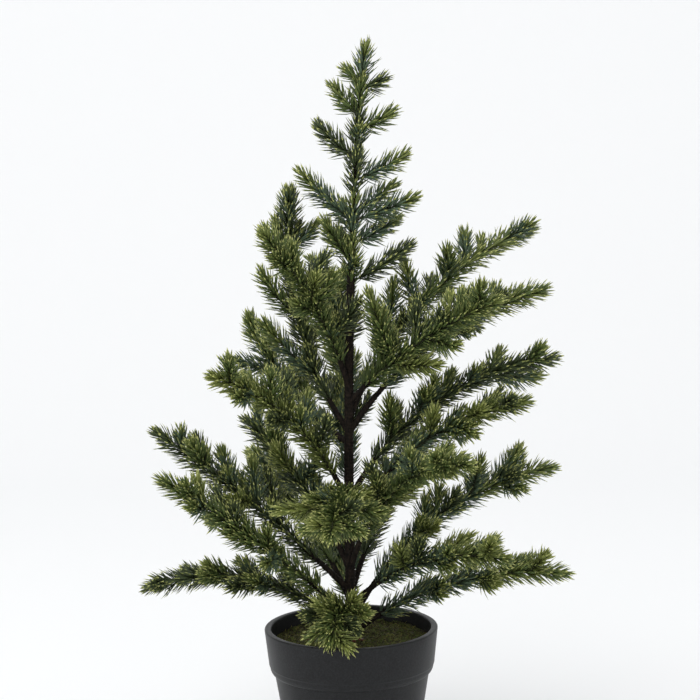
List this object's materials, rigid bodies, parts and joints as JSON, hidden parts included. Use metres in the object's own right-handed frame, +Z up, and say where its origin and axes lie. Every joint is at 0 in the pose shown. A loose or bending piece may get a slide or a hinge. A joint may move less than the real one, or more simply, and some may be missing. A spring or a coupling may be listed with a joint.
{
  "type": "artificial potted fir tree",
  "caption": "Small artificial fir with a wrapped stem, spreading boughs and short moulded needles, in a plain black pot.",
  "frame": {"origin": "middle of the pot's flat underside, where it stands on the floor", "axes": "+Z up along the trunk, the front of the tree faces -Y, the tip leans to +X"},
  "size_m": [0.2981, 0.2424, 0.5129],
  "materials": {
    "pot_plastic": "satin moulded black",
    "filling_plaster": "rough cast weight",
    "moss": "dry fibrous moss",
    "bark_wrap": "matt dark brown wrapping",
    "needles": "satin moulded green needles"
  },
  "bodies": {
    "root": {"bough_low_back": "bark_wrap", "bough_low_front": "bark_wrap", "bough_low_left": "bark_wrap", "bough_low_right": "bark_wrap", "bough_low_right_front": "bark_wrap", "bough_lower_back_left": "bark_wrap", "bough_lower_back_right": "bark_wrap", "bough_lower_left": "bark_wrap", "bough_lower_left_front": "bark_wrap", "bough_lower_right": "bark_wrap", "bough_mid_back": "bark_wrap", "bough_mid_back_left": "bark_wrap", "bough_mid_front": "bark_wrap", "bough_mid_front_right": "bark_wrap", "bough_mid_left_back": "bark_wrap", "bough_mid_left_front": "bark_wrap", "bough_mid_right": "bark_wrap", "bough_mid_right_front": "bark_wrap", "bough_upper_back": "bark_wrap", "bough_upper_left_back": "bark_wrap", "bough_upper_left_front": "bark_wrap", "bough_upper_right": "bark_wrap", "bough_upper_right_back": "bark_wrap", "bough_upper_right_front": "bark_wrap", "filling": "filling_plaster", "foliage_leader_tier_1": "needles", "foliage_leader_tier_2": "needles", "foliage_leader_tier_3": "needles", "foliage_leader_tier_4": "needles", "foliage_leader_tier_5": "needles", "foliage_leader_tip": "needles", "foliage_low_back": "needles", "foliage_low_front": "needles", "foliage_low_left": "needles", "foliage_low_right": "needles", "foliage_low_right_front": "needles", "foliage_lower_back_left": "needles", "foliage_lower_back_right": "needles", "foliage_lower_left": "needles", "foliage_lower_left_front": "needles", "foliage_lower_right": "needles", "foliage_mid_back": "needles", "foliage_mid_back_left": "needles", "foliage_mid_front": "needles", "foliage_mid_front_right": "needles", "foliage_mid_left_back": "needles", "foliage_mid_left_front": "needles", "foliage_mid_right": "needles", "foliage_mid_right_front": "needles", "foliage_upper_back": "needles", "foliage_upper_left_back": "needles", "foliage_upper_left_front": "needles", "foliage_upper_right": "needles", "foliage_upper_right_back": "needles", "foliage_upper_right_front": "needles", "moss": "moss", "pot": "pot_plastic", "trunk": "bark_wrap"}
  },
  "joints": []
}
